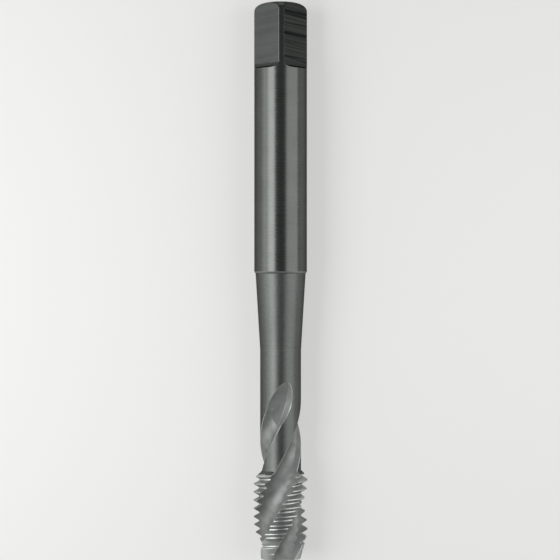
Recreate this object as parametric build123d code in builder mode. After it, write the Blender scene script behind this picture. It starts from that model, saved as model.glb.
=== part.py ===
"""A machine tap with three spiral flutes, for an M8 x 1.25 right-hand thread.

The tap is one piece of high-speed steel.  It is modelled upright, with its axis on Z and
its tip on the ground, and is laid on its side last of all.  It then lies along Y, with
the cutting end towards -Y and the driving square towards +Y, and the origin is under the
middle of its length.

Stations are distances along the tap, measured from the tip.  Angles round the axis are
measured from the side that faces up once the tap lies down, and both the thread and the
flutes climb to larger angles, as right-hand ones do.
"""
from build123d import *
from math import acos, degrees, radians, tan
import os

os.makedirs("parts", exist_ok=True)

# Stations along the tap, in millimetres
lead_taper_end = 3.75
thread_end = 13.4
neck_end = 31.6
taper_end = 43.2
shank_start = 43.45
overall_length = 84.2

# Diameters along the tap
tip_diameter = 6.0
thread_diameter = 8.16
neck_diameter = 6.2
taper_end_diameter = 7.6
shank_diameter = 8.0
shank_end_diameter = 6.2
end_round_length = 1.3

# Thread: a 60 degree profile with flat crests and roots
pitch = 1.25
thread_depth = 0.8
crest_width = 0.15
flank_angle = 30
crest_station_on_top = 7.9

# Spiral flutes
flute_count = 3
flute_lead = 36.8
flute_radius = 3.0
core_diameter = 4.1
flute_end = 22.8
first_flute_angle = 8.5

# Grinding wheel whose rim leaves the run-out at the end of each flute
wheel_radius = 22.0
wheel_rim_radius = 2.15
wheel_tilt = 35

# Driving square
square_sides = 4
square_width = 6.2
square_length = 10.1
square_run_out_radius = 0.9
square_turn = 2

# Centre hole in the end of the shank
centre_hole_diameter = 1.0
centre_hole_depth = 2.4
centre_cone_diameter = 2.4
centre_cone_angle = 60

# How far the cutters reach past the surfaces that they cut
over_cut = 0.05
flute_run_in = 2.0
groove_over_run_angle = 15

# Sizes that follow from these
crest_radius = thread_diameter / 2
root_radius = crest_radius - thread_depth
mouth_radius = crest_radius + over_cut
cutter_radius = core_diameter / 2 + flute_radius
cutter_length = flute_end + flute_run_in
square_start = overall_length - square_length
full_turn = 360


def thread_angle(station):
    """Angle at which the groove of the thread passes a station."""
    return full_turn * ((station - crest_station_on_top) / pitch + 0.5)


def flute_angle(station):
    """Angle at which the middle of the first flute passes a station."""
    return first_flute_angle + full_turn * station / flute_lead


def groove_half_width(depth):
    """Half the width of the thread groove, at a depth below the crests."""
    return (pitch - crest_width) / 2 - depth * tan(radians(flank_angle))


def land_width_angle(radius):
    """Angle that a land takes up between two flutes, at a distance from the axis."""
    reach = (radius**2 + cutter_radius**2 - flute_radius**2) / (2 * radius * cutter_radius)
    return full_turn / flute_count - 2 * degrees(acos(reach))


# Flute cutter: a round tool follows the spiral, and the rim of the grinding wheel ends it
with BuildPart() as flute_cutter:
    with BuildLine() as flute_path:
        Helix(pitch=flute_lead, height=cutter_length, radius=cutter_radius)
    with BuildSketch():
        with Locations((cutter_radius, 0)):
            Circle(flute_radius)
    sweep(path=flute_path.line, is_frenet=True)

    outwards = Vector(1, 0, 0).rotate(Axis.Z, full_turn * cutter_length / flute_lead)
    wheel_centre = (core_diameter / 2 + wheel_radius) * outwards + Vector(0, 0, cutter_length)
    wheel_axis = Vector(0, 0, 1).rotate(Axis((0, 0, 0), outwards), 90 - wheel_tilt)
    with Locations(Plane(origin=wheel_centre, x_dir=outwards, z_dir=wheel_axis)):
        Torus(wheel_radius - wheel_rim_radius, wheel_rim_radius)

# Groove cutter: one pass of the thread groove over a land, with both its ends in a flute
with BuildPart() as groove_cutter:
    groove_arc = land_width_angle(root_radius) + 2 * groove_over_run_angle
    groove_rise = pitch * groove_arc / full_turn
    with BuildLine() as groove_path:
        Helix(pitch=pitch, height=groove_rise, radius=root_radius)
    with BuildSketch(Plane.XZ):
        with BuildLine():
            Polyline(
                (root_radius, -groove_half_width(thread_depth)),
                (mouth_radius, -groove_half_width(-over_cut)),
                (mouth_radius, groove_half_width(-over_cut)),
                (root_radius, groove_half_width(thread_depth)),
                close=True,
            )
        make_face()
    sweep(path=groove_path.line, is_frenet=True)

# The groove meets a land each time that it has gained a third of a turn on the flutes
station_step = full_turn / flute_count / (full_turn / pitch - full_turn / flute_lead)
lag = thread_angle(0) - flute_angle(0) - full_turn / flute_count / 2
first_station = -lag / (full_turn / pitch - full_turn / flute_lead)
pass_numbers = range(
    round((-pitch - first_station) / station_step),
    round((thread_end + pitch - first_station) / station_step) + 1,
)
groove_passes = [
    Location(
        (0, 0, first_station + number * station_step - groove_rise / 2),
        (0, 0, thread_angle(first_station + number * station_step) - groove_arc / 2),
    )
    for number in pass_numbers
]

# Flat cutter: a slab for one side of the square, rounded where it runs out of the shank
with BuildPart() as flat_cutter:
    with BuildSketch(Plane.XZ):
        with Locations((square_width / 2, square_start)):
            Rectangle(
                shank_diameter,
                square_length + over_cut,
                align=(Align.MIN, Align.MIN),
            )
        fillet(vertices().sort_by(Axis.X)[:2].sort_by(Axis.Z)[0], square_run_out_radius)
    extrude(amount=shank_diameter, both=True)

# Tap: the turned and centre-drilled blank, then its flutes, its thread and its square
with BuildPart() as upright_tap:
    thread_step = (thread_diameter - neck_diameter) / 2
    round_start = (shank_diameter / 2, overall_length - end_round_length)
    round_end = (shank_end_diameter / 2, overall_length)
    with BuildSketch(Plane.XZ):
        with BuildLine():
            Polyline(
                round_end,
                (0, overall_length),
                (0, 0),
                (tip_diameter / 2, 0),
                (crest_radius, lead_taper_end),
                (crest_radius, thread_end - thread_step),
                (neck_diameter / 2, thread_end),
                (neck_diameter / 2, neck_end),
                (taper_end_diameter / 2, taper_end),
                (shank_diameter / 2, shank_start),
                round_start,
            )
            TangentArc(round_start, round_end, tangent=(0, 1))
        make_face()
    revolve(axis=Axis.Z)

    with Locations(Plane.XY.offset(overall_length)):
        CounterSinkHole(
            radius=centre_hole_diameter / 2,
            counter_sink_radius=centre_cone_diameter / 2,
            depth=centre_hole_depth,
            counter_sink_angle=centre_cone_angle,
        )

    with PolarLocations(0, flute_count, start_angle=flute_angle(-flute_run_in)):
        with Locations((0, 0, -flute_run_in)):
            add(flute_cutter.part, mode=Mode.SUBTRACT)

    with Locations(*groove_passes):
        add(groove_cutter.part, mode=Mode.SUBTRACT)

    with PolarLocations(0, square_sides, start_angle=full_turn / square_sides / 2 + square_turn):
        add(flat_cutter.part, mode=Mode.SUBTRACT)

# Laid on its side, the tap rests on the crests of its thread
with BuildPart() as thread_tap:
    axis_height = max(thread_diameter, shank_diameter) / 2
    lying = Plane(
        origin=(0, -overall_length / 2, axis_height), x_dir=(0, 0, 1), z_dir=(0, 1, 0)
    )
    with Locations(lying):
        add(upright_tap.part)

thread_tap.part.label = "thread_tap"
export_step(thread_tap.part, "parts/thread_tap.step")
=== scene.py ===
"""Dressed model of a spiral-flute machine tap: the steel, its ground and turned finishes,
and a plain studio.

The tap is one closed mesh.  Its cutting end, where the thread and the flutes follow their
two helices, is made by Geometry Nodes.  The run-outs of the flutes, the neck, the shank
and the driving square are rings of points that carry on the columns of the cutting end.

Stations are millimetres along the tap from its tip, and angles round the axis run from the
side that faces up towards +X, in degrees.  Both helices climb to larger angles.
"""

import logging
import math
from dataclasses import dataclass, field
from enum import Enum
from typing import Any

import bmesh
import bpy
import numpy as np
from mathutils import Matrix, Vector

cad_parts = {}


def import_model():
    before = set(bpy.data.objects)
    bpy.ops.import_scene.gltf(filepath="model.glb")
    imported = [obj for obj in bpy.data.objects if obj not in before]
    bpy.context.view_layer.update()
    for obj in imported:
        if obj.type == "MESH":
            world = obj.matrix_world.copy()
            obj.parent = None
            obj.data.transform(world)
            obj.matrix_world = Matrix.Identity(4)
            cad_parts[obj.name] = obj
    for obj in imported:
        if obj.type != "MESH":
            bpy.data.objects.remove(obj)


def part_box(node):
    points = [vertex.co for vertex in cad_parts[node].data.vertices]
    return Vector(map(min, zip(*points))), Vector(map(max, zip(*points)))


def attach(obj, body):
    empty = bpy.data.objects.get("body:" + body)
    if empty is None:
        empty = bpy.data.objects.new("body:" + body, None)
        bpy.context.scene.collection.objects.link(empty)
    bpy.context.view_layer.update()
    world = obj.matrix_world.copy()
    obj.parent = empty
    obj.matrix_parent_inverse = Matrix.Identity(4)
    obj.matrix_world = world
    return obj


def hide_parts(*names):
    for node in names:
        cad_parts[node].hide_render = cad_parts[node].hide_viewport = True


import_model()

LOG = logging.getLogger("tap")
NODE = "thread_tap"
BODY = "root"
MM = 0.001
FULL_TURN = 360.0

# In millimetres: how close two points of the mesh are when they become one, how far before
# the end of the thread the neck's finish starts, and how near the tip its end faces are
WELD = 0.003
NECK_STEP_BACK = 0.5
TIP_FACE_REACH = 0.01
# In degrees: the bend past which an edge stays sharp, and the width of a flute's mouth
# under which its broken edges get narrower
SHARP_ANGLE = 7.0
EDGE_FADE = 12.0
# In square millimetres: how much two cuts differ before one is taken for the deeper
SLACK = 1e-6
# How strongly a finish draws the noise of its marks and grooves, and how fine the noise is
MARK_CONTRAST = 5.0
GROOVE_CONTRAST = 400.0
MARK_DETAIL = 3.0
GROOVE_DETAIL = 1.0
CLOUD_DETAIL = 2.0
STREAK_ROUGHNESS = 0.6
# Limits of a finish: the most that its tone changes, as a share, and its least roughness
TONE_LIMIT = 0.6
LEAST_ROUGHNESS = 0.05


# ---------------------------------------------------------------- small helpers


def srgb(code: str) -> tuple[float, float, float, float]:
    """Turn an sRGB hex colour into the linear colour that shaders take.

    Args:
        code: The colour as "#rrggbb".

    Returns:
        Linear red, green, blue and an alpha of 1.
    """
    parts = [int(code[i : i + 2], 16) / 255 for i in (1, 3, 5)]
    linear = [p / 12.92 if p <= 0.04045 else ((p + 0.055) / 1.055) ** 2.4 for p in parts]
    return (linear[0], linear[1], linear[2], 1.0)


def add_node(tree: bpy.types.NodeTree, kind: str, settings: dict[str, Any] | None = None,
             inputs: dict[int | str, Any] | None = None) -> bpy.types.Node:
    """Add a node with its settings and links.

    Args:
        tree: The tree that takes the node.
        kind: The node's type name.
        settings: Properties to set on the node.
        inputs: A value, a Field or a socket for each input, by index or name.

    Returns:
        The new node.
    """
    node = tree.nodes.new(kind)
    for name, value in (settings or {}).items():
        setattr(node, name, value)
    for key, value in (inputs or {}).items():
        value = value.socket if isinstance(value, Field) else value
        if isinstance(value, bpy.types.NodeSocket):
            tree.links.new(value, node.inputs[key])
        else:
            node.inputs[key].default_value = value
    return node


@dataclass(frozen=True)
class Field:
    """A number in a node tree that can be reckoned with like any other."""

    tree: bpy.types.NodeTree
    socket: bpy.types.NodeSocket

    def reckon(self, operation: str, *others: Any) -> "Field":
        """Put this number and the others through one Math node.

        Args:
            operation: Name of the node's operation.
            others: The numbers, fields or sockets that follow this one.

        Returns:
            The result.
        """
        inputs = dict(enumerate((self, *others)))
        node = add_node(self.tree, "ShaderNodeMath", {"operation": operation}, inputs)
        return Field(self.tree, node.outputs[0])

    def __add__(self, other: Any) -> "Field":
        """Sum."""
        return self.reckon("ADD", other)

    def __sub__(self, other: Any) -> "Field":
        """Difference."""
        return self.reckon("SUBTRACT", other)

    def __mul__(self, other: Any) -> "Field":
        """Product."""
        return self.reckon("MULTIPLY", other)

    def __truediv__(self, other: Any) -> "Field":
        """Quotient."""
        return self.reckon("DIVIDE", other)

    def between(self, low: Any, high: Any) -> "Field":
        """This number, held between a low and a high one."""
        return self.reckon("MAXIMUM", low).reckon("MINIMUM", high)

    def turned(self, operation: str) -> "Field":
        """Sine or cosine of this number of degrees."""
        return self.reckon("RADIANS").reckon(operation)

    def choose(self, when_one: Any, when_nought: Any) -> "Field":
        """Pick a number by this one, which is 1 or 0."""
        return self * (when_one - when_nought) + when_nought


# ---------------------------------------------------------------- finishes


class Lay(Enum):
    """Direction of the fine marks that a process leaves, as stretches along X, Y and Z.

    The marks are short along an axis with a large number.
    """

    AROUND = (0.02, 1.0, 0.02)
    ALONG = (1.0, 0.03, 1.0)
    ACROSS = (0.012, 1.0, 0.012)
    NONE = (1.0, 1.0, 1.0)


@dataclass(frozen=True)
class Finish:
    """High-speed steel as one process leaves it.

    Args:
        title: Common name of the metal and its surface process.
        colour: sRGB hex of the metal.
        roughness: Spread of its gloss.
        lay: Direction of its fine marks.
        mark_spacing: Distance between marks, in millimetres.
        mark_height: Height of the marks, in millimetres.
        roughness_swing: How far the marks change the roughness.
        colour_swing: How far the marks darken the metal, from 0 to 1.
        slope: Drift of the marks along the tap for each millimetre across it.
        cloud_size: Breadth of the faint clouds in its tone, in millimetres.
        cloud_share: How far the clouds change the tone, from 0 to 1.
        groove_spacing: Mean distance between separate deep grooves, in millimetres.
        groove_share: How far a groove darkens the metal; below nought, it is lighter.
        edge_tint: sRGB hex of the gloss at a grazing view.
    """

    title: str
    colour: str
    roughness: float
    lay: Lay
    mark_spacing: float
    mark_height: float
    roughness_swing: float = 0.04
    colour_swing: float = 0.08
    slope: float = 0.0
    cloud_size: float = 3.0
    cloud_share: float = 0.25
    groove_spacing: float = 1.0
    groove_share: float = 0.0
    edge_tint: str = "#aaaaaa"

    def streaks(self, tree: bpy.types.NodeTree, place: bpy.types.NodeSocket, spacing: float,
                detail: float) -> Field:
        """Add noise that is drawn out along the lay.

        Args:
            tree: The tree that takes the nodes.
            place: The point that the noise is read at.
            spacing: Distance between streaks, in millimetres.
            detail: How many finer layers the noise has.

        Returns:
            The noise, about 0.5 on average.
        """
        per_metre = 1 / (spacing * MM)
        drawn_out = add_node(tree, "ShaderNodeVectorMath", {"operation": "MULTIPLY"},
                             {0: place, 1: [per_metre * part for part in self.lay.value]})
        return Field(tree, add_node(
            tree, "ShaderNodeTexNoise", None,
            {"Vector": drawn_out.outputs[0], "Scale": 1.0, "Detail": detail,
             "Roughness": STREAK_ROUGHNESS},
        ).outputs["Fac"])

    def material(self) -> bpy.types.Material:
        """Build the procedural material.

        Returns:
            The material, named for the steel and its process.
        """
        made = bpy.data.materials.new(self.title)
        made.use_nodes = True
        tree = made.node_tree
        tree.nodes.clear()
        place = add_node(tree, "ShaderNodeTexCoord").outputs["Object"]
        apart = add_node(tree, "ShaderNodeSeparateXYZ", None, {0: place})
        drift = Field(tree, apart.outputs["Y"]) + Field(tree, apart.outputs["X"]) * self.slope
        sloped = add_node(tree, "ShaderNodeCombineXYZ", None,
                          {"X": apart.outputs["X"], "Y": drift, "Z": apart.outputs["Z"]})
        marks = self.streaks(tree, sloped.outputs[0], self.mark_spacing, MARK_DETAIL)
        # broad, faint clouding that heat treatment and handling leave on the steel
        clouds = Field(tree, add_node(
            tree, "ShaderNodeTexNoise", None,
            {"Vector": place, "Scale": 1 / (self.cloud_size * MM), "Detail": CLOUD_DETAIL},
        ).outputs["Fac"])
        swing = ((marks - 0.5) * MARK_CONTRAST).between(-1.0, 1.0)
        shade = swing * self.colour_swing + (clouds - 0.5) * self.cloud_share
        shade = shade.between(-TONE_LIMIT, TONE_LIMIT)
        if self.groove_share:
            # a groove lies where this noise passes its mean
            off_mean = self.streaks(
                tree, sloped.outputs[0], self.groove_spacing, GROOVE_DETAIL) - 0.5
            groove = ((off_mean * off_mean) * -GROOVE_CONTRAST + 1.0).between(0.0, 1.0)
            shade = shade - groove * self.groove_share
        tone = add_node(tree, "ShaderNodeMix", {"data_type": "RGBA", "blend_type": "MULTIPLY"},
                        {"Factor": 1.0, "A": srgb(self.colour)})
        grey = add_node(tree, "ShaderNodeCombineColor", None,
                        dict.fromkeys(range(3), shade + 1.0))
        tree.links.new(grey.outputs[0], tone.inputs["B"])
        rough = (swing * self.roughness_swing + self.roughness).between(LEAST_ROUGHNESS, 1.0)
        bump = add_node(tree, "ShaderNodeBump", None,
                        {"Strength": 1.0, "Distance": self.mark_height * MM, "Height": marks})
        shader = add_node(
            tree, "ShaderNodeBsdfPrincipled", None,
            {"Base Color": tone.outputs["Result"], "Metallic": 1.0, "Roughness": rough,
             "Specular Tint": srgb(self.edge_tint), "Normal": bump.outputs[0]},
        )
        add_node(tree, "ShaderNodeOutputMaterial", None, {"Surface": shader.outputs[0]})
        return made


# The real marks of these processes lie a few hundredths of a millimetre apart or less, too
# fine to show, so each finish draws them as coarse as they need to be.

# Ground between centres: fine rings round the axis, crisp streaks along it
SHANK = Finish("high-speed steel, cylindrically ground", "#5c5f5d", roughness=0.25,
               lay=Lay.AROUND, mark_spacing=0.06, mark_height=0.0012)
# Turned and heat-treated, not ground: softer gloss and a fine grain of scale
NECK = Finish("high-speed steel, turned and hardened", "#616462", roughness=0.4,
              lay=Lay.NONE, mark_spacing=0.3, mark_height=0.003, colour_swing=0.14)
# Chamfer of the step up to the shank, turned; its light colour is a painted highlight, the bright
# band that the chamfer catches
STEP_WITH_PAINTED_HIGHLIGHT = Finish("high-speed steel, turned chamfer, painted highlight", "#8a8d8b", roughness=0.5,
              lay=Lay.AROUND, mark_spacing=0.1, mark_height=0.001)
# Ground along the spiral by the rim of a wheel: a dull, even gloss
FLUTE = Finish("high-speed steel, flute ground", "#939694", roughness=0.62,
               lay=Lay.ALONG, mark_spacing=0.12, mark_height=0.001,
               cloud_size=1.6, cloud_share=0.9)
# The strip behind each cutting edge, ground once more: even and finely matt
RAKE = Finish("high-speed steel, rake ground", "#959896", roughness=0.75,
              lay=Lay.ALONG, mark_spacing=0.1, mark_height=0.001,
              cloud_size=1.6, cloud_share=0.5)
# Where the wheel stood for its last pass: duller, since it rubbed more than it cut
TOE = Finish("high-speed steel, dull from the last pass", "#979a98", roughness=0.85,
             lay=Lay.ALONG, mark_spacing=0.16, mark_height=0.003,
             cloud_size=1.6, cloud_share=0.4)
# Thread-ground, brighter on its crests and flanks
THREAD = Finish("high-speed steel, thread ground", "#bcbfbd", roughness=0.4,
                lay=Lay.AROUND, mark_spacing=0.1, mark_height=0.0008)
# Surface-ground flats: parallel lines that cross each flat on a slight slope
FLAT = Finish("high-speed steel, surface ground", "#4d4f4e", roughness=0.2,
              lay=Lay.ACROSS, mark_spacing=0.11, mark_height=0.0006, roughness_swing=0.03,
              colour_swing=0.04, slope=-0.1, groove_spacing=1.6, groove_share=-0.12)
# The same with a freshly dressed, coarser wheel: the lines show dark; its base colour, darker
# than the fine flat's, is painted shade, as on a flat facing away from the lamps
COARSE_AND_SHADED_FLAT = Finish("high-speed steel, coarsely surface ground", "#434544", roughness=0.2,
                     lay=Lay.ACROSS, mark_spacing=0.3, mark_height=0.003,
                     roughness_swing=0.06, colour_swing=0.22, slope=0.12,
                     groove_spacing=0.55, groove_share=0.6)
# Narrow edges that a stone has broken, which catch the light
EDGE = Finish("high-speed steel, stoned edge", "#b4b7b5", roughness=0.5,
              lay=Lay.NONE, mark_spacing=0.2, mark_height=0.0)
# Faced and rounded end, with rings from the lathe
END = Finish("high-speed steel, faced", "#686b69", roughness=0.45,
             lay=Lay.AROUND, mark_spacing=0.1, mark_height=0.002)

FINISHES = [SHANK, NECK, STEP_WITH_PAINTED_HIGHLIGHT, FLUTE, RAKE, TOE, THREAD, FLAT, COARSE_AND_SHADED_FLAT, EDGE, END]


# ---------------------------------------------------------------- sizes


@dataclass(frozen=True)
class Blank:
    """The turned blank, in millimetres: its radii, then its stations, from the tip on."""

    length: float
    axis_height: float
    tip_radius: float = 3.0
    crest_radius: float = 4.08
    neck_radius: float = 3.1
    taper_radius: float = 3.8
    shank_radius: float = 4.0
    end_radius: float = 1.7
    lead_taper_end: float = 3.75
    thread_end: float = 13.4
    neck_end: float = 31.6
    taper_end: float = 43.2
    shank_start: float = 43.45
    end_round_length: float = 1.3

    def place(self, station: np.ndarray, radius: np.ndarray, angle: np.ndarray) -> np.ndarray:
        """Turn stations, radii and angles into points of the frame.

        Args:
            station: Stations of the points.
            radius: Their distances from the axis.
            angle: Their angles round it.

        Returns:
            The points, in metres.
        """
        turn = np.radians(angle)
        across, up = radius * np.sin(turn), self.axis_height + radius * np.cos(turn)
        return np.stack([across, station - self.length / 2, up], axis=-1) * MM


@dataclass(frozen=True)
class Flutes:
    """The three spiral flutes and the wheel that ends them, in millimetres and degrees.

    Args:
        lead: Length in which a flute goes once round the tap.
        radius: Radius of the round that a flute's section is.
        core_radius: Radius of the steel that is left between the flutes.
        first_angle: Angle of the first flute's middle at the tip.
        end: Station at which the wheel is lifted out.
        wheel_radius: Radius of the wheel.
        wheel_rim_radius: Radius of the round of its rim.
        wheel_tilt: Lean of the wheel from the axis, towards larger angles.
        edge_break: Breadth of the broken edge on each side of a land.
    """

    lead: float = 36.8
    radius: float = 3.0
    core_radius: float = 2.05
    first_angle: float = 8.5
    end: float = 22.8
    wheel_radius: float = 22.0
    wheel_rim_radius: float = 2.15
    wheel_tilt: float = 35.0
    edge_break: float = 0.06

    @property
    def reach(self) -> float:
        """Distance from the axis to the middle of a flute's round."""
        return self.core_radius + self.radius

    def angle(self, station: float | np.ndarray) -> float | np.ndarray:
        """Angle of the middle of the first flute at a station."""
        return self.first_angle + FULL_TURN * station / self.lead

    def mouth_turn(self, radius: float) -> float:
        """Angle on the flute's own round at which it meets a radius."""
        return math.degrees(math.acos(
            (self.reach**2 + self.radius**2 - radius**2) / (2 * self.reach * self.radius)))

    def round_angle(self, turn: np.ndarray) -> np.ndarray:
        """Turn angles on the flute's own round into angles round the axis.

        Args:
            turn: Angles from the point of the round that is nearest to the axis.

        Returns:
            The angles from the middle of the flute.
        """
        turn = np.radians(turn)
        aside, inwards = self.radius * np.sin(turn), self.radius * np.cos(turn)
        return np.degrees(np.arctan2(aside, self.reach - inwards))


@dataclass(frozen=True)
class Columns:
    """Columns of the mesh round the axis, shared by every ring of the tap.

    Each third of the turn holds one flute, a broken edge, one land and a broken edge.
    """

    thirds: int = 3
    in_flute: int = 34
    in_land: int = 24
    in_rake: int = 8

    @property
    def in_third(self) -> int:
        """Columns in one flute, one land and the two broken edges between them."""
        return self.in_flute + self.in_land + 2

    @property
    def before_rake(self) -> int:
        """Columns of the flute's round before the flat strip behind the cutting edge."""
        return self.in_flute - self.in_rake

    @property
    def total(self) -> int:
        """Columns in the whole turn."""
        return self.thirds * self.in_third


# ---------------------------------------------------------------- cutting end


@dataclass
class CuttingEnd:
    """Thread and flutes from the tip to the neck, made by Geometry Nodes.

    Rows of a grid follow the thread, and its columns follow the flutes.  The rows start at
    least `run_in` pitches before the tip, so that every column reaches it.
    """

    blank: Blank
    flutes: Flutes
    columns: Columns
    pitch: float = 1.25
    thread_depth: float = 0.8
    crest_width: float = 0.15
    flank_angle: float = 30.0
    crest_station_on_top: float = 7.9
    run_in: float = 1.1
    top: float = 19.0
    rows_in_crest: int = 2
    rows_in_flank: int = 4

    @property
    def rows_in_pitch(self) -> int:
        """Rows in a crest, a root and two flanks."""
        return 2 * (self.rows_in_crest + self.rows_in_flank)

    def sizes(self) -> dict[str, float]:
        """List the named inputs of the node tree.

        Returns:
            The value of each input, in millimetres or degrees.
        """
        blank, flutes = self.blank, self.flutes
        flank = self.thread_depth * math.tan(math.radians(self.flank_angle))
        mouth = flutes.round_angle(np.array(flutes.mouth_turn(blank.neck_radius)))
        pitches_down = math.ceil(
            (self.crest_station_on_top + self.run_in * self.pitch) / self.pitch)
        return {
            "Pitch": self.pitch,
            "Thread depth": self.thread_depth,
            "Crest width": self.crest_width,
            "Flank width": flank,
            "Root width": self.pitch - self.crest_width - 2 * flank,
            "First crest": self.crest_station_on_top - self.pitch * pitches_down,
            "Top station": self.top,
            "Tip radius": blank.tip_radius,
            "Crest radius": blank.crest_radius,
            "Neck radius": blank.neck_radius,
            "Lead taper end": blank.lead_taper_end,
            "Thread end": blank.thread_end,
            "Flute lead": flutes.lead,
            "Flute radius": flutes.radius,
            "Flute reach": flutes.reach,
            "First flute angle": flutes.first_angle,
            "Neck mouth angle": float(mouth),
            "Edge break": flutes.edge_break,
            "Half length": blank.length / 2,
            "Axis height": blank.axis_height,
        }

    def row_count(self) -> int:
        """Rows that take the grid past the top on every column."""
        rise = self.top - self.sizes()["First crest"]
        return self.rows_in_pitch * math.ceil(rise / self.pitch) + 1

    def add_inputs(self, tree: bpy.types.NodeTree) -> dict[str, Field]:
        """Give the tree its output, and a named input for each size.

        Args:
            tree: The tree that takes them.

        Returns:
            Each size by its name, as a number in the tree.
        """
        tree.interface.new_socket("Geometry", in_out="OUTPUT", socket_type="NodeSocketGeometry")
        for name in self.sizes():
            tree.interface.new_socket(name, in_out="INPUT", socket_type="NodeSocketFloat")
        given = tree.nodes.new("NodeGroupInput")
        return {name: Field(tree, given.outputs[name]) for name in self.sizes()}

    def thread(self, size: dict[str, Field], row: Field,
               turn_share: Field) -> tuple[Field, Field]:
        """Place the rows of the thread.

        A row climbs by one pitch in a turn, and its place in the pitch is its own.

        Args:
            size: The named sizes.
            row: Number of the row.
            turn_share: Turns from the top of the tap to the column at the tip.

        Returns:
            The station, and the land's radius there: that of the thread, but no further out
            than the turned blank.
        """
        pitch_number = (row / self.rows_in_pitch).reckon("FLOOR")
        part = row - pitch_number * self.rows_in_pitch
        crest, flank = self.rows_in_crest, self.rows_in_flank
        on_crest = part.between(0, crest) / crest
        falling = (part - crest).between(0, flank) / flank
        on_root = (part - crest - flank).between(0, crest) / crest
        climbing = (part - 2 * crest - flank).between(0, flank) / flank
        row_station = (size["First crest"] + pitch_number * size["Pitch"]
                       + (on_crest - 0.5) * size["Crest width"]
                       + (falling + climbing) * size["Flank width"]
                       + on_root * size["Root width"])
        climb = (size["Pitch"] / size["Flute lead"]) * -1.0 + 1.0
        station = (row_station + turn_share * size["Pitch"]) / climb
        station = station.between(0.0, size["Top station"])
        thread = size["Crest radius"] - (falling - climbing) * size["Thread depth"]
        lead = (size["Tip radius"] + (size["Crest radius"] - size["Tip radius"])
                * station / size["Lead taper end"])
        behind = (size["Thread end"] - station).reckon("MAXIMUM", 0.0) + size["Neck radius"]
        return station, thread.reckon("MINIMUM", lead).reckon("MINIMUM", behind)

    def flute(self, size: dict[str, Field], step: Field, flute_share: Field,
              radius: Field) -> tuple[Field, Field, Field]:
        """Place the columns of a flute: its round, then the flat strip of its rake.

        Args:
            size: The named sizes.
            step: Number of the column in its third.
            flute_share: How far across the flute the column is, from 0 to 1.
            radius: Radius of the land.

        Returns:
            Radius and angle of the column, and the angle at which the round meets the land.
        """
        columns = self.columns
        reach, bore = size["Flute reach"], size["Flute radius"]
        cosine = (reach * reach + bore * bore - radius * radius) / (reach * bore * 2.0)
        mouth_turn = cosine.reckon("ARCCOSINE")
        edge_angle = (mouth_turn.reckon("SINE") * bore).reckon(
            "ARCTAN2", reach - mouth_turn.reckon("COSINE") * bore).reckon("DEGREES")
        last_turn = mouth_turn - size["Edge break"] / bore
        rake_turn = last_turn * (2.0 * columns.before_rake / columns.in_flute - 1.0)
        turn = ((flute_share * 2.0 - 1.0) * last_turn).reckon("MINIMUM", rake_turn)
        # the strip runs straight from there to the cutting edge
        rake_share = (step - columns.before_rake).between(0, columns.in_rake) / columns.in_rake
        inwards = (rake_turn.reckon("COSINE") - last_turn.reckon("COSINE")) * bore * rake_share
        sideways = (last_turn.reckon("SINE") - rake_turn.reckon("SINE")) * bore * rake_share
        flute_in = reach - turn.reckon("COSINE") * bore + inwards
        flute_aside = turn.reckon("SINE") * bore + sideways
        flute_angle = flute_aside.reckon("ARCTAN2", flute_in).reckon("DEGREES")
        flute_radius = (flute_in * flute_in + flute_aside * flute_aside).reckon("SQRT")
        return flute_radius, flute_angle, edge_angle

    def dress(self, shape: bpy.types.NodeSocket, step: Field, along: Field,
              size: dict[str, Field],
              made: dict[Finish, bpy.types.Material]) -> bpy.types.NodeSocket:
        """Give each face its finish, where a later choice holds over those before it.

        Args:
            shape: The wrapped grid.
            step: Number of each face's column in its third.
            along: Station of each face.
            size: The named sizes.
            made: The material of each finish.

        Returns:
            The dressed shape.
        """
        def before(column: int) -> Field:
            """Tell whether a face comes before this column, safe from rounding."""
            return step.reckon("LESS_THAN", column - 0.5)

        columns = self.columns
        choices = (
            (THREAD, None),
            (NECK, along.reckon("GREATER_THAN", size["Thread end"] - NECK_STEP_BACK)),
            (EDGE, step.reckon("GREATER_THAN", columns.in_third - 1.5)),
            (EDGE, before(columns.in_flute + 1)),
            (RAKE, before(columns.in_flute)),
            (FLUTE, before(columns.before_rake)),
            (END, along.reckon("LESS_THAN", TIP_FACE_REACH)),
        )
        for finish, chosen in choices:
            inputs: dict[int | str, Any] = {"Geometry": shape, "Material": made[finish]}
            if chosen is not None:
                inputs["Selection"] = chosen
            shape = add_node(step.tree, "GeometryNodeSetMaterial", None, inputs).outputs[0]
        return shape

    def build_tree(self, made: dict[Finish, bpy.types.Material]) -> bpy.types.NodeTree:
        """Build the tree that wraps a grid round the tap.

        Args:
            made: The material of each finish.

        Returns:
            The node tree.
        """
        tree = bpy.data.node_groups.new("cutting end", "GeometryNodeTree")
        size = self.add_inputs(tree)
        columns, rows = self.columns, self.row_count()
        third_turn = FULL_TURN / columns.thirds

        grid = add_node(tree, "GeometryNodeMeshGrid", None, {
            "Size X": float(columns.total), "Size Y": float(rows - 1),
            "Vertices X": columns.total + 1, "Vertices Y": rows})
        spot = add_node(tree, "ShaderNodeSeparateXYZ", None,
                        {0: add_node(tree, "GeometryNodeInputPosition").outputs[0]})
        across = Field(tree, spot.outputs["X"]) + columns.total / 2
        column = across.reckon("ROUND")
        row = (Field(tree, spot.outputs["Y"]) + (rows - 1) / 2).reckon("ROUND")

        third = (column / columns.in_third).reckon("FLOOR")
        step = column - third * columns.in_third
        flute_share = step.between(0, columns.in_flute) / columns.in_flute
        land_share = (step - columns.in_flute - 1).between(0, columns.in_land) / columns.in_land
        third_angle = third * third_turn

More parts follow.
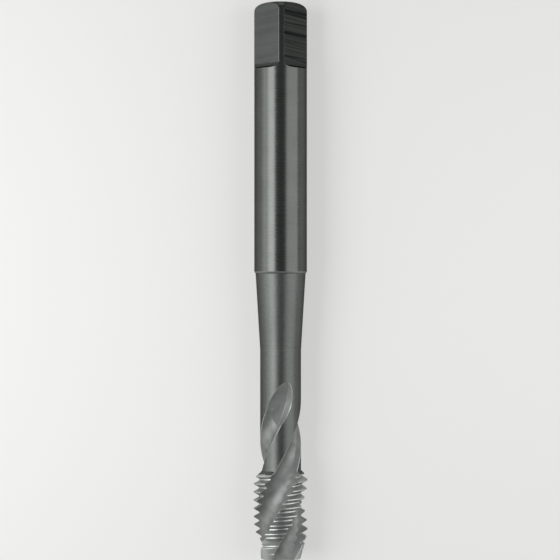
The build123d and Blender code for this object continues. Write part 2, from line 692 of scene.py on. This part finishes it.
        # a row's climb is reckoned from where its columns stand at the neck's radius
        mouth = size["Neck mouth angle"]
        rough_angle = (mouth * -1.0 + mouth * 2.0 * flute_share
                       + (mouth * -2.0 + third_turn) * land_share)
        turn_share = (rough_angle + third_angle + size["First flute angle"]) / FULL_TURN
        station, radius = self.thread(size, row, turn_share)
        flute_radius, flute_angle, edge_angle = self.flute(size, step, flute_share, radius)
        inset = edge_angle + (size["Edge break"] / radius).reckon("DEGREES")
        land_angle = inset + (inset * -2.0 + third_turn) * land_share

        # the first row closes the tip
        is_flute = step.reckon("LESS_THAN", columns.in_flute + 0.5)
        final_radius = is_flute.choose(flute_radius, radius) * row.reckon("GREATER_THAN", 0.5)
        angle = (is_flute.choose(flute_angle, land_angle) + third_angle
                 + size["First flute angle"] + station / size["Flute lead"] * FULL_TURN)
        where = add_node(tree, "ShaderNodeCombineXYZ", None, {
            "X": final_radius * angle.turned("SINE") * MM,
            "Y": (station - size["Half length"]) * MM,
            "Z": (final_radius * angle.turned("COSINE") + size["Axis height"]) * MM})

        # each face keeps its step in the third, which tells flute, broken edge and land apart
        keep = add_node(tree, "GeometryNodeCaptureAttribute", {"domain": "FACE"})
        keep.capture_items.new("FLOAT", "Step")
        tree.links.new(grid.outputs["Mesh"], keep.inputs[0])
        face_step = across.reckon("FLOOR").reckon("FLOORED_MODULO", columns.in_third)
        tree.links.new(face_step.socket, keep.inputs[1])
        wrapped = add_node(tree, "GeometryNodeSetPosition", None,
                           {"Geometry": keep.outputs[0], "Position": where.outputs[0]})
        along = Field(tree, spot.outputs["Y"]) / MM + size["Half length"]
        shape = self.dress(
            wrapped.outputs[0], Field(tree, keep.outputs[1]), along, size, made)
        merged = add_node(tree, "GeometryNodeMergeByDistance", None,
                          {"Geometry": shape, "Distance": WELD * MM})
        real = add_node(tree, "GeometryNodeRealizeInstances", None, {0: merged.outputs[0]})
        add_node(tree, "NodeGroupOutput", None, {0: real.outputs[0]})
        return tree

    def build(self, made: dict[Finish, bpy.types.Material]) -> bpy.types.Mesh:
        """Run the tree and turn its result into a plain mesh.

        Args:
            made: The material of each finish.

        Returns:
            The open mesh from the tip to the top station.
        """
        holder = bpy.data.objects.new("cutting end", bpy.data.meshes.new("cutting end"))
        bpy.context.scene.collection.objects.link(holder)
        tree, sizes = self.build_tree(made), self.sizes()
        modifier = holder.modifiers.new("cutting end", "NODES")
        modifier.node_group = tree
        for item in tree.interface.items_tree:
            if item.in_out == "INPUT":
                modifier[item.identifier] = sizes[item.name]
        graph = bpy.context.evaluated_depsgraph_get()
        mesh = bpy.data.meshes.new_from_object(holder.evaluated_get(graph))
        bpy.data.objects.remove(holder)
        return mesh


# ---------------------------------------------------------------- rings behind it


@dataclass
class Ring:
    """One ring of points round the tap, and the finish of the faces up to the next ring."""

    station: np.ndarray
    radius: np.ndarray
    angle: np.ndarray
    finish: list[Finish]


@dataclass(frozen=True)
class WheelPrint:
    """Where a grinding wheel stood when it left its print, in millimetres.

    Args:
        station: Station of the wheel's lowest point.
        rim_radius: Radius of the round of its rim.
        deeper: How far below the flute's core it cut.
        aside: How far it stood from the middle of the flute, to larger angles.
    """

    station: float
    rim_radius: float
    deeper: float = 0.0
    aside: float = 0.0


@dataclass
class RunOuts:
    """Ends of the flutes, where the wheel left the print of its rim.

    Angles here are taken from the middle of the flute's own spiral.

    Args:
        blank: The turned blank.
        flutes: The flutes that end here.
        columns: Columns of every ring.
        last_pass: Where the wheel stood for a last, dull pass.
        start: Station of the first ring.
        ring_step: Distance between rings.
        tip_steps: Distances of the last rings from the tip of the run-out.
        samples: How many points of a ray are tried.
        first_sample: Where the first of them is, as a share of the deepest cut's radius.
        halvings: How often the search for the tip halves its range.
        search: Angles at which a mouth is looked for.
    """

    blank: Blank
    flutes: Flutes
    columns: Columns
    last_pass: WheelPrint = WheelPrint(station=21.5, rim_radius=1.6, deeper=0.18, aside=-0.55)
    start: float = 19.0
    ring_step: float = 0.12
    tip_steps: tuple[float, ...] = (0.5, 0.3, 0.18, 0.1, 0.05, 0.02, 0.0)
    samples: int = 96
    first_sample: float = 0.97
    halvings: int = 30
    search: np.ndarray = field(default_factory=lambda: np.arange(-60.0, 60.0, 0.05))

    def wheel_gap(self, wheel: WheelPrint, station: np.ndarray, angle: np.ndarray,
                  radius: np.ndarray) -> np.ndarray:
        """Tell how far points are from a wheel's rim: below nought, they are ground away.

        Args:
            wheel: Where the wheel stands.
            station: Stations of the points.
            angle: Their angles.
            radius: Their distances from the axis.

        Returns:
            A signed measure in square millimetres.
        """
        flutes = self.flutes
        tilt = math.radians(flutes.wheel_tilt)
        turn = np.radians(angle + FULL_TURN * (station - flutes.end) / flutes.lead)
        out = radius * np.cos(turn) - flutes.core_radius + wheel.deeper - flutes.wheel_radius
        aside, along = radius * np.sin(turn) - wheel.aside, station - wheel.station
        height = along * math.sin(tilt) - aside * math.cos(tilt)
        flat = np.sqrt(np.maximum(out**2 + aside**2 + along**2 - height**2, 0.0))
        rim = flutes.wheel_radius - wheel.rim_radius
        return (flat - rim) ** 2 + height**2 - wheel.rim_radius**2

    @property
    def lifted(self) -> WheelPrint:
        """The wheel that ground the flute, where it is lifted out."""
        return WheelPrint(self.flutes.end, self.flutes.wheel_rim_radius)

    def round_gap(self, station: np.ndarray, angle: np.ndarray, radius: np.ndarray) -> np.ndarray:
        """Do the same for the round of the flute, which stops at the flute's end.

        Args:
            station: Stations of the points.
            angle: Their angles.
            radius: Their distances from the axis.

        Returns:
            A signed measure in square millimetres.
        """
        turn = np.radians(angle)
        out, aside = radius * np.cos(turn) - self.flutes.reach, radius * np.sin(turn)
        gap = out**2 + aside**2 - self.flutes.radius**2
        return np.where(station <= self.flutes.end, gap, 1.0)

    def gap(self, station: Any, angle: np.ndarray, radius: Any) -> np.ndarray:
        """Do the same for all the cuts together, from arrays of any matching shapes.

        Args:
            station: Stations of the points.
            angle: Their angles.
            radius: Their distances from the axis.

        Returns:
            A signed measure in square millimetres.
        """
        spots = np.broadcast_arrays(station, angle, radius)
        return np.minimum.reduce([self.round_gap(*spots), self.wheel_gap(self.lifted, *spots),
                                  self.wheel_gap(self.last_pass, *spots)])

    def mouth(self, station: float) -> tuple[float, float] | None:
        """Find where the cut meets the neck.

        Args:
            station: The station to look at.

        Returns:
            The first and last angle of the cut, or None past its tip.
        """
        gap = self.gap(station, self.search, self.blank.neck_radius)
        inside = np.flatnonzero(gap < 0)
        if not len(inside):
            return None
        first, last = inside[0], inside[-1]
        step = self.search[1] - self.search[0]
        left = self.search[first] - step * gap[first] / (gap[first] - gap[first - 1])
        right = self.search[last] + step * gap[last] / (gap[last] - gap[last + 1])
        return float(left), float(right)

    def tip(self) -> float:
        """Find the last station that the wheel touched, by halving.

        Returns:
            The station.
        """
        low, high = self.flutes.end, self.flutes.end + self.flutes.wheel_radius
        for _ in range(self.halvings):
            middle = (low + high) / 2
            low, high = (middle, high) if self.mouth(middle) else (low, middle)
        return low

    def cut_radius(self, station: float, angle: np.ndarray) -> np.ndarray:
        """Find how deep the cut is along rays from the axis.

        Args:
            station: Station of the rays.
            angle: Their angles.

        Returns:
            The radius at which each ray meets the cut, or else the neck's radius.
        """
        deepest = self.flutes.core_radius - self.last_pass.deeper
        radii = np.linspace(self.first_sample * deepest, self.blank.neck_radius, self.samples)
        gap = self.gap(station, angle[:, None], radii[None, :])
        hit = (gap < 0).any(axis=1)
        after = np.maximum(np.argmax(gap < 0, axis=1), 1)
        row = np.arange(len(angle))
        high, low = gap[row, after - 1], gap[row, after]
        met = radii[after - 1] + (radii[after] - radii[after - 1]) * high / (high - low)
        return np.where(hit, met, self.blank.neck_radius)

    def ring(self, station: float, mouth: tuple[float, float]) -> Ring:
        """Build the ring at one station.

        Args:
            station: The station.
            mouth: The first and last angle of the cut there.

        Returns:
            The ring, with all three flutes.
        """
        flutes, columns, neck = self.flutes, self.columns, self.blank.neck_radius
        turn = flutes.mouth_turn(neck)
        first_mouth = float(flutes.round_angle(np.array(turn)))
        edge_turn = turn - math.degrees(flutes.edge_break / flutes.radius)
        share = flutes.round_angle(
            np.linspace(-edge_turn, edge_turn, columns.in_flute + 1)) / first_mouth
        left, right = mouth
        in_flute = (left + right) / 2 + (right - left) / 2 * share
        inset = math.degrees(flutes.edge_break / neck) * min(1.0, (right - left) / EDGE_FADE)
        third = FULL_TURN / columns.thirds
        in_land = np.linspace(right + inset, third + left - inset, columns.in_land + 1)
        turn, radius = np.radians(in_flute), self.cut_radius(station, in_flute)
        point = radius * np.exp(1j * turn)
        # the rake's flat strip goes on into the run-out
        first = columns.before_rake
        point[first:] = np.linspace(point[first], point[-1], columns.in_rake + 1)
        radius = np.concatenate([np.abs(point), np.full(columns.in_land + 1, neck)])
        angle = np.concatenate([np.degrees(np.angle(point)), in_land])
        # where the flute's own round isn't the deepest cut, a wheel's print shows
        spots = np.broadcast_arrays(station, in_flute, radius[: columns.in_flute + 1])
        dull = self.round_gap(*spots) > self.gap(*spots) + SLACK
        dull[first:] = False
        finish = [TOE if both else FLUTE for both in dull[:first] & dull[1 : first + 1]]
        finish += [RAKE] * columns.in_rake + [EDGE] + [NECK] * columns.in_land + [EDGE]
        turned = [angle + third * number for number in range(columns.thirds)]
        return Ring(np.full(columns.total, station), np.tile(radius, columns.thirds),
                    np.concatenate(turned) + flutes.angle(station), finish * columns.thirds)

    def rings(self) -> list[Ring]:
        """Build the rings of the run-outs.

        Returns:
            The rings from the cutting end to the tips of the run-outs.
        """
        tip = self.tip()
        stations = list(np.arange(self.start, tip - self.tip_steps[0], self.ring_step))
        stations += [tip - step for step in self.tip_steps]
        last = self.mouth(tip)
        return [self.ring(station, self.mouth(station) or last) for station in stations]


@dataclass
class DrivingSquare:
    """Four flats, their rounded run-outs and the broken corners between them.

    Two opposite flats are coarsely ground and painted darker, as shade, and their corners are
    broken less.

    Args:
        blank: The turned blank.
        columns: Columns of every ring.
        half_width: Half the width across flats, in millimetres.
        length: Length of the square with its run-outs, in millimetres.
        run_out_radius: Radius of the cutter's corner, in millimetres.
        turn: Angle of the middle of the first flat, in degrees.
        corner_columns: Columns on each corner.
        corner_break: Reach of a broken corner on the flat and past it, in degrees.
        coarse_corner_break: The same beside a coarse flat.
        rings_in_run_out: Rings along the run-outs.
        rings_on_flat: Rings along the flats.
        rings_in_round: Rings along the rounded end.
    """

    blank: Blank
    columns: Columns
    half_width: float = 3.1
    length: float = 10.1
    run_out_radius: float = 0.9
    turn: float = 47.0
    corner_columns: int = 6
    corner_break: tuple[float, float] = (0.5, 0.4)
    coarse_corner_break: tuple[float, float] = (0.12, 0.08)
    rings_in_run_out: int = 6
    rings_on_flat: int = 6
    rings_in_round: int = 8

    @property
    def in_quarter(self) -> int:
        """Columns in one flat, its two broken edges and one corner."""
        return self.columns.total // 4

    @property
    def flat_columns(self) -> int:
        """Columns on one flat."""
        return self.in_quarter - self.corner_columns - 2

    @property
    def half_angle(self) -> float:
        """Half the angle that a flat takes up on the shank."""
        return math.degrees(math.acos(self.half_width / self.blank.shank_radius))

    def offsets(self) -> np.ndarray:
        """Work out the columns of a coarse flat, a fine one and their corners.

        Returns:
            The angle of each column from the middle of its flat.
        """
        half, (flat_break, break_end) = self.half_angle, self.corner_break
        coarse_break, coarse_end = self.coarse_corner_break
        return np.concatenate([
            np.linspace(coarse_break - half, half - coarse_break, self.flat_columns + 1),
            np.linspace(half + coarse_end, 90 - half - break_end, self.corner_columns + 1),
            np.linspace(flat_break - half, half - flat_break, self.flat_columns + 1),
            np.linspace(half + break_end, 90 - half - coarse_end, self.corner_columns + 1)])

    def angles(self) -> np.ndarray:
        """Work out the columns of two whole turns.

        Returns:
            Their angles round the axis, from the start of the first flat.
        """
        quarter_turns = np.repeat([0, 90], self.in_quarter)
        return np.concatenate([self.offsets() + quarter_turns + self.turn + 180 * number
                               for number in range(4)])

    def finishes(self) -> list[Finish]:
        """Choose a finish for the faces of each column along the square.

        Returns:
            The finishes, from the start of the first flat.
        """
        corner = [SHANK] * (self.corner_columns + 2)
        # the coarse flats carry painted shade in their darker colour
        flat, coarse_shaded = [FLAT] * self.flat_columns, [COARSE_AND_SHADED_FLAT] * self.flat_columns
        return (coarse_shaded + corner + flat + corner) * 2

    def rings(self, shift: int, angle: np.ndarray) -> list[Ring]:
        """Build the rings of the square and of the rounded end.

        Args:
            shift: How many columns the first one stands past the start of the first flat.
            angle: Angles of the columns, in the tap's own order.

        Returns:
            The rings, from the end of the plain shank to the rim of the end face.
        """
        blank, shank = self.blank, self.blank.shank_radius
        off = np.roll(np.tile(self.offsets(), 2), -shift)
        finish = list(np.roll(np.array(self.finishes(), dtype=object), -shift))
        on_flat = np.abs(off) < self.half_angle
        cosine = np.cos(np.radians(off))

        # run-out: the cutter's rounded corner meets the shank on a curve
        floor = blank.length - self.length + self.run_out_radius
        arc_middle = self.half_width + self.run_out_radius
        swing = np.arccos(np.clip((arc_middle - shank * cosine) / self.run_out_radius, -1, 1))
        swing = np.where(on_flat, swing, swing[on_flat].min())
        rings = []
        for part in np.linspace(1.0, 0.0, self.rings_in_run_out + 1):
            station = floor - self.run_out_radius * np.sin(swing * part)
            cut = (arc_middle - self.run_out_radius * np.cos(swing * part)) / cosine
            rings.append(Ring(station, np.where(on_flat, cut, shank), angle, finish))

        # the flat meets the rounded end where their radii agree
        drop, run = shank - blank.end_radius, blank.end_round_length
        flat_radius = np.where(on_flat, self.half_width / cosine, shank)
        start_swing = np.arccos(np.clip((flat_radius - blank.end_radius) / drop, 0, 1))
        meets = blank.length - run + run * np.sin(start_swing)
        for part in np.linspace(0.0, 1.0, self.rings_on_flat + 1)[1:]:
            rings.append(Ring(floor + (meets - floor) * part, flat_radius, angle, finish))
        for part in np.linspace(0.0, 1.0, self.rings_in_round + 1)[1:]:
            swing = start_swing + (math.pi / 2 - start_swing) * part
            rings.append(Ring(blank.length - run + run * np.sin(swing),
                              blank.end_radius + drop * np.cos(swing), angle, finish))
        rings[-1].finish = [END] * len(finish)
        return rings


@dataclass
class CentreHole:
    """Centre-drilled hole in the end of the shank."""

    blank: Blank
    radius: float = 0.5
    depth: float = 2.4
    cone_radius: float = 1.2
    cone_half_angle: float = 30.0

    def rings(self, angle: np.ndarray) -> list[Ring]:
        """Build the rings over the end face, down the cone and the hole to the axis.

        Args:
            angle: Angles of the columns.

        Returns:
            The rings.
        """
        end, mouth = self.blank.length, self.cone_radius
        cone_depth = (mouth - self.radius) / math.tan(math.radians(self.cone_half_angle))
        profile = [(end, (mouth + self.blank.end_radius) / 2), (end, mouth),
                   (end - cone_depth, self.radius), (end - self.depth, self.radius),
                   (end - self.depth, 0.0)]
        whole = np.ones(len(angle))
        return [Ring(whole * station, whole * radius, angle, [END] * len(angle))
                for station, radius in profile]


# ---------------------------------------------------------------- the tap


@dataclass
class Tap:
    """The whole tap, as one closed mesh.

    One ring stands `crease` millimetres before each change of slope, and one after it.
    """

    blank: Blank
    flutes: Flutes = field(default_factory=Flutes)
    columns: Columns = field(default_factory=Columns)
    crease: float = 0.05
    neck_rings: int = 26
    taper_rings: int = 12
    step_rings: int = 2
    shank_rings: int = 14

    @property
    def square(self) -> DrivingSquare:
        """The driving square of this blank."""
        return DrivingSquare(self.blank, self.columns)

    def blank_radius(self, station: float) -> float:
        """Work out the radius of the turned blank behind the thread.

        Args:
            station: The station to look at.

        Returns:
            The radius there.
        """
        blank = self.blank
        stations = (blank.thread_end, blank.neck_end, blank.taper_end, blank.shank_start,
                    blank.length)
        radii = (blank.neck_radius, blank.neck_radius, blank.taper_radius, blank.shank_radius,
                 blank.shank_radius)
        return float(np.interp(station, stations, radii))

    def blank_finish(self, station: float) -> Finish:
        """Choose the finish behind the thread.

        Args:
            station: Station of a ring.

        Returns:
            The finish of the faces that follow the ring.
        """
        blank = self.blank
        if station > blank.shank_start:
            return SHANK
        # the chamfer's light colour is a painted highlight
        if station > blank.taper_end:
            return STEP_WITH_PAINTED_HIGHLIGHT
        # a thin ring at the foot of the taper takes the lighter finish of the faced end, so it
        # shows as a light line
        if blank.neck_end - 2 * self.crease < station < blank.neck_end:
            return END
        return NECK

    def shaft_stations(self, start: float) -> list[float]:
        """Space the rings along the neck and the shank.

        Args:
            start: Station at which the run-outs end.

        Returns:
            The stations.
        """
        blank, crease = self.blank, self.crease
        stops = [start, blank.neck_end, blank.taper_end, blank.shank_start,
                 blank.length - self.square.length - crease]
        counts = [self.neck_rings, self.taper_rings, self.step_rings, self.shank_rings]
        stations: list[float] = []
        for low, high, count in zip(stops, stops[1:], counts):
            stations += list(np.linspace(low + crease, high - crease, count + 1))
        return stations

    def rings(self) -> list[Ring]:
        """Build all the rings behind the cutting end.

        Returns:
            The rings, from the cutting end to the bottom of the centre hole.
        """
        total, square = self.columns.total, self.square
        rings = RunOuts(self.blank, self.flutes, self.columns).rings()
        last = rings[-1]
        last.finish = [NECK] * total
        # the square's columns start with the one nearest to the run-outs' first column
        target = square.angles()
        target = target + FULL_TURN * math.floor((last.angle[0] - target[0]) / FULL_TURN)
        shift = int(np.argmin(np.abs(target[:total] - last.angle[0])))
        target = target[shift : shift + total]
        # along the neck and the taper, the columns turn smoothly to where the square has them
        start, full = last.station[0], self.blank.taper_end
        for station in self.shaft_stations(start):
            share = min(1.0, (station - start) / (full - start))
            share = share * share * (3 - 2 * share)
            rings.append(Ring(
                np.full(total, station), np.full(total, self.blank_radius(station)),
                last.angle + (target - last.angle) * share, [self.blank_finish(station)] * total))
        rings += square.rings(shift, target)
        rings += CentreHole(self.blank).rings(target)
        return rings

    def shaft_mesh(self) -> bpy.types.Mesh:
        """Join the rings with faces.

        Returns:
            The open mesh, with the number of its finish on each face.
        """
        rings, total = self.rings(), self.columns.total
        points = np.concatenate(
            [self.blank.place(ring.station, ring.radius, ring.angle) for ring in rings])
        faces, finishes = [], []
        for number, ring in enumerate(rings[:-1]):
            low, high = number * total, (number + 1) * total
            for column in range(total):
                after = (column + 1) % total
                faces.append((low + column, low + after, high + after, high + column))
                finishes.append(FINISHES.index(ring.finish[column]))
        mesh = bpy.data.meshes.new("shaft")
        mesh.from_pydata(points.tolist(), [], faces)
        mesh.polygons.foreach_set("material_index", finishes)
        return mesh

    def build(self) -> bpy.types.Object:
        """Weld the cutting end to the rest and dress the result.

        Returns:
            The finished object.
        """
        made = {finish: finish.material() for finish in FINISHES}
        cutting_end = CuttingEnd(self.blank, self.flutes, self.columns)
        head, shaft = cutting_end.build(made), self.shaft_mesh()
        slots = {slot.name: number for number, slot in enumerate(made.values())}
        order = [slots[material.name] if material else 0 for material in head.materials]
        work = bmesh.new()
        work.from_mesh(head)
        for face in work.faces:
            face.material_index = order[face.material_index]
        work.from_mesh(shaft)
        bmesh.ops.remove_doubles(work, verts=work.verts, dist=WELD * MM)
        bmesh.ops.recalc_face_normals(work, faces=work.faces)
        open_edges = sum(not edge.is_manifold for edge in work.edges)
        LOG.info("tap: %d faces, %d open edges, %.0f cubic millimetres", len(work.faces),
                 open_edges, work.calc_volume() / MM**3)
        mesh = bpy.data.meshes.new("tap")
        for material in made.values():
            mesh.materials.append(material)
        work.to_mesh(mesh)
        work.free()
        mesh.shade_smooth()
        mesh.set_sharp_from_angle(angle=math.radians(SHARP_ANGLE))
        tap = bpy.data.objects.new("ground_tap", mesh)
        bpy.context.scene.collection.objects.link(tap)
        return tap


# ---------------------------------------------------------------- studio


@dataclass(frozen=True)
class SoftBox:
    """A long soft lamp that lies along the tap and faces it.

    Args:
        title: Name of the lamp.
        angle: Direction from the tap to the lamp, in degrees from straight up towards +X.
        spread: Angle that the lamp takes up across the tap, in degrees.
        power: Power in watts for each square metre of lamp.
        distance: Distance from the tap, in metres.
        length: Length of the lamp along the tap, in metres.
    """

    title: str
    angle: float
    spread: float
    power: float
    distance: float = 0.14
    length: float = 0.15

    def build(self, aim: Vector) -> bpy.types.Object:
        """Add the lamp.

        Args:
            aim: The point that it faces.

        Returns:
            The lamp's object.
        """
        width = 2 * self.distance * math.tan(math.radians(self.spread / 2))
        lamp = bpy.data.lights.new(self.title, "AREA")
        lamp.shape = "RECTANGLE"
        lamp.size, lamp.size_y = width, self.length
        lamp.energy = self.power * width * self.length
        turn = math.radians(self.angle)
        holder = bpy.data.objects.new(self.title, lamp)
        holder.location = aim + self.distance * Vector((math.sin(turn), 0, math.cos(turn)))
        holder.rotation_euler = (0, turn, 0)
        holder.visible_camera = False
        bpy.context.scene.collection.objects.link(holder)
        return holder


@dataclass(frozen=True)
class Studio:
    """Floor, lamps, world and camera, in metres, with the lens in millimetres."""

    floor_colour: str = "#f0f0ee"
    floor_roughness: float = 0.9
    floor_gloss: float = 0.1
    floor_radius: float = 1.0
    sweep_radius: float = 0.5
    sweep_rows: int = 12
    sides: int = 96
    glow_share: float = 0.5
    world_level: float = 0.17
    camera_at: tuple[float, float, float] = (-0.00009, 0.0001, 0.3075)
    lens: float = 128.6
    sensor: float = 36.0
    clip: tuple[float, float] = (0.01, 10.0)
    boxes: tuple[SoftBox, ...] = (
        SoftBox("key", angle=-40.0, spread=30.0, power=11.0),
        SoftBox("key shoulder", angle=-66.0, spread=22.0, power=5.0),
        SoftBox("low side", angle=-83.0, spread=12.0, power=3.0),
        SoftBox("fill", angle=51.0, spread=54.0, power=5.0),
    )

    def paint(self) -> bpy.types.Material:
        """Make the matt board of the floor.

        Its pale tone is partly its own to the eye and to what mirrors it, so that it stays
        pale far from the lamps and sends no more light to the tap.

        Returns:
            The material.
        """
        paint = bpy.data.materials.new("matt painted board")
        paint.use_nodes = True
        tree = paint.node_tree
        shader = tree.nodes["Principled BSDF"]
        shader.inputs["Base Color"].default_value = srgb(self.floor_colour)
        shader.inputs["Roughness"].default_value = self.floor_roughness
        shader.inputs["Specular IOR Level"].default_value = self.floor_gloss
        rays = add_node(tree, "ShaderNodeLightPath").outputs
        seen = Field(tree, rays["Is Camera Ray"]).reckon("MAXIMUM", rays["Is Glossy Ray"])
        glow = add_node(tree, "ShaderNodeEmission", None, {"Color": srgb(self.floor_colour)})
        both = add_node(tree, "ShaderNodeMixShader", None,
                        {0: seen * self.glow_share, 1: shader.outputs[0], 2: glow.outputs[0]})
        tree.links.new(both.outputs[0], tree.nodes["Material Output"].inputs["Surface"])
        return paint

    def board(self) -> bpy.types.Mesh:
        """Make the floor, which curves up at its rim.

        Returns:
            The mesh.
        """
        profile = [(self.floor_radius, 0.0)]
        for row in range(1, self.sweep_rows + 1):
            angle = math.pi / 2 * row / self.sweep_rows
            profile.append((self.floor_radius + self.sweep_radius * math.sin(angle),
                            self.sweep_radius * (1 - math.cos(angle))))
        points = [(radius * math.cos(math.tau * side / self.sides),
                   radius * math.sin(math.tau * side / self.sides), height)
                  for radius, height in profile for side in range(self.sides)]
        faces = [tuple(range(self.sides))]
        for row in range(self.sweep_rows):
            low, high = row * self.sides, (row + 1) * self.sides
            for side in range(self.sides):
                after = (side + 1) % self.sides
                faces.append((high + side, high + after, low + after, low + side))
        mesh = bpy.data.meshes.new("floor")
        mesh.from_pydata(points, [], faces)
        mesh.polygons.foreach_set("use_smooth", [False] + [True] * (len(faces) - 1))
        mesh.materials.append(self.paint())
        return mesh

    def build(self) -> None:
        """Add all of it to the scene."""
        scene = bpy.context.scene
        scene.view_settings.view_transform = "Standard"
        floor = bpy.data.objects.new("floor", self.board())
        scene.collection.objects.link(floor)
        low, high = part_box(NODE)
        aim = (Vector(low) + Vector(high)) / 2
        for box in self.boxes:
            box.build(aim)
        world = bpy.data.worlds.new("studio")
        world.use_nodes = True
        background = world.node_tree.nodes["Background"]
        background.inputs["Color"].default_value = (*[self.world_level] * 3, 1.0)
        scene.world = world
        lens = bpy.data.cameras.new("camera")
        lens.lens, lens.sensor_width = self.lens, self.sensor
        lens.clip_start, lens.clip_end = self.clip
        camera = bpy.data.objects.new("camera", lens)
        camera.location = self.camera_at
        scene.collection.objects.link(camera)
        scene.camera = camera
        LOG.info("studio: %d lamps", len(self.boxes))


# ---------------------------------------------------------------- run


def main() -> None:
    """Build the tap and the studio."""
    logging.basicConfig(level=logging.INFO, format="%(name)s: %(message)s")
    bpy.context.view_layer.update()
    low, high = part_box(NODE)
    blank = Blank(length=(high[1] - low[1]) / MM, axis_height=high[2] / MM / 2)
    tap = Tap(blank).build()
    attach(tap, BODY)
    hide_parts(NODE)
    LOG.info("%s rides on %s and replaces %s", tap.name, BODY, NODE)
    Studio().build()


if __name__ == "__main__":
    main()
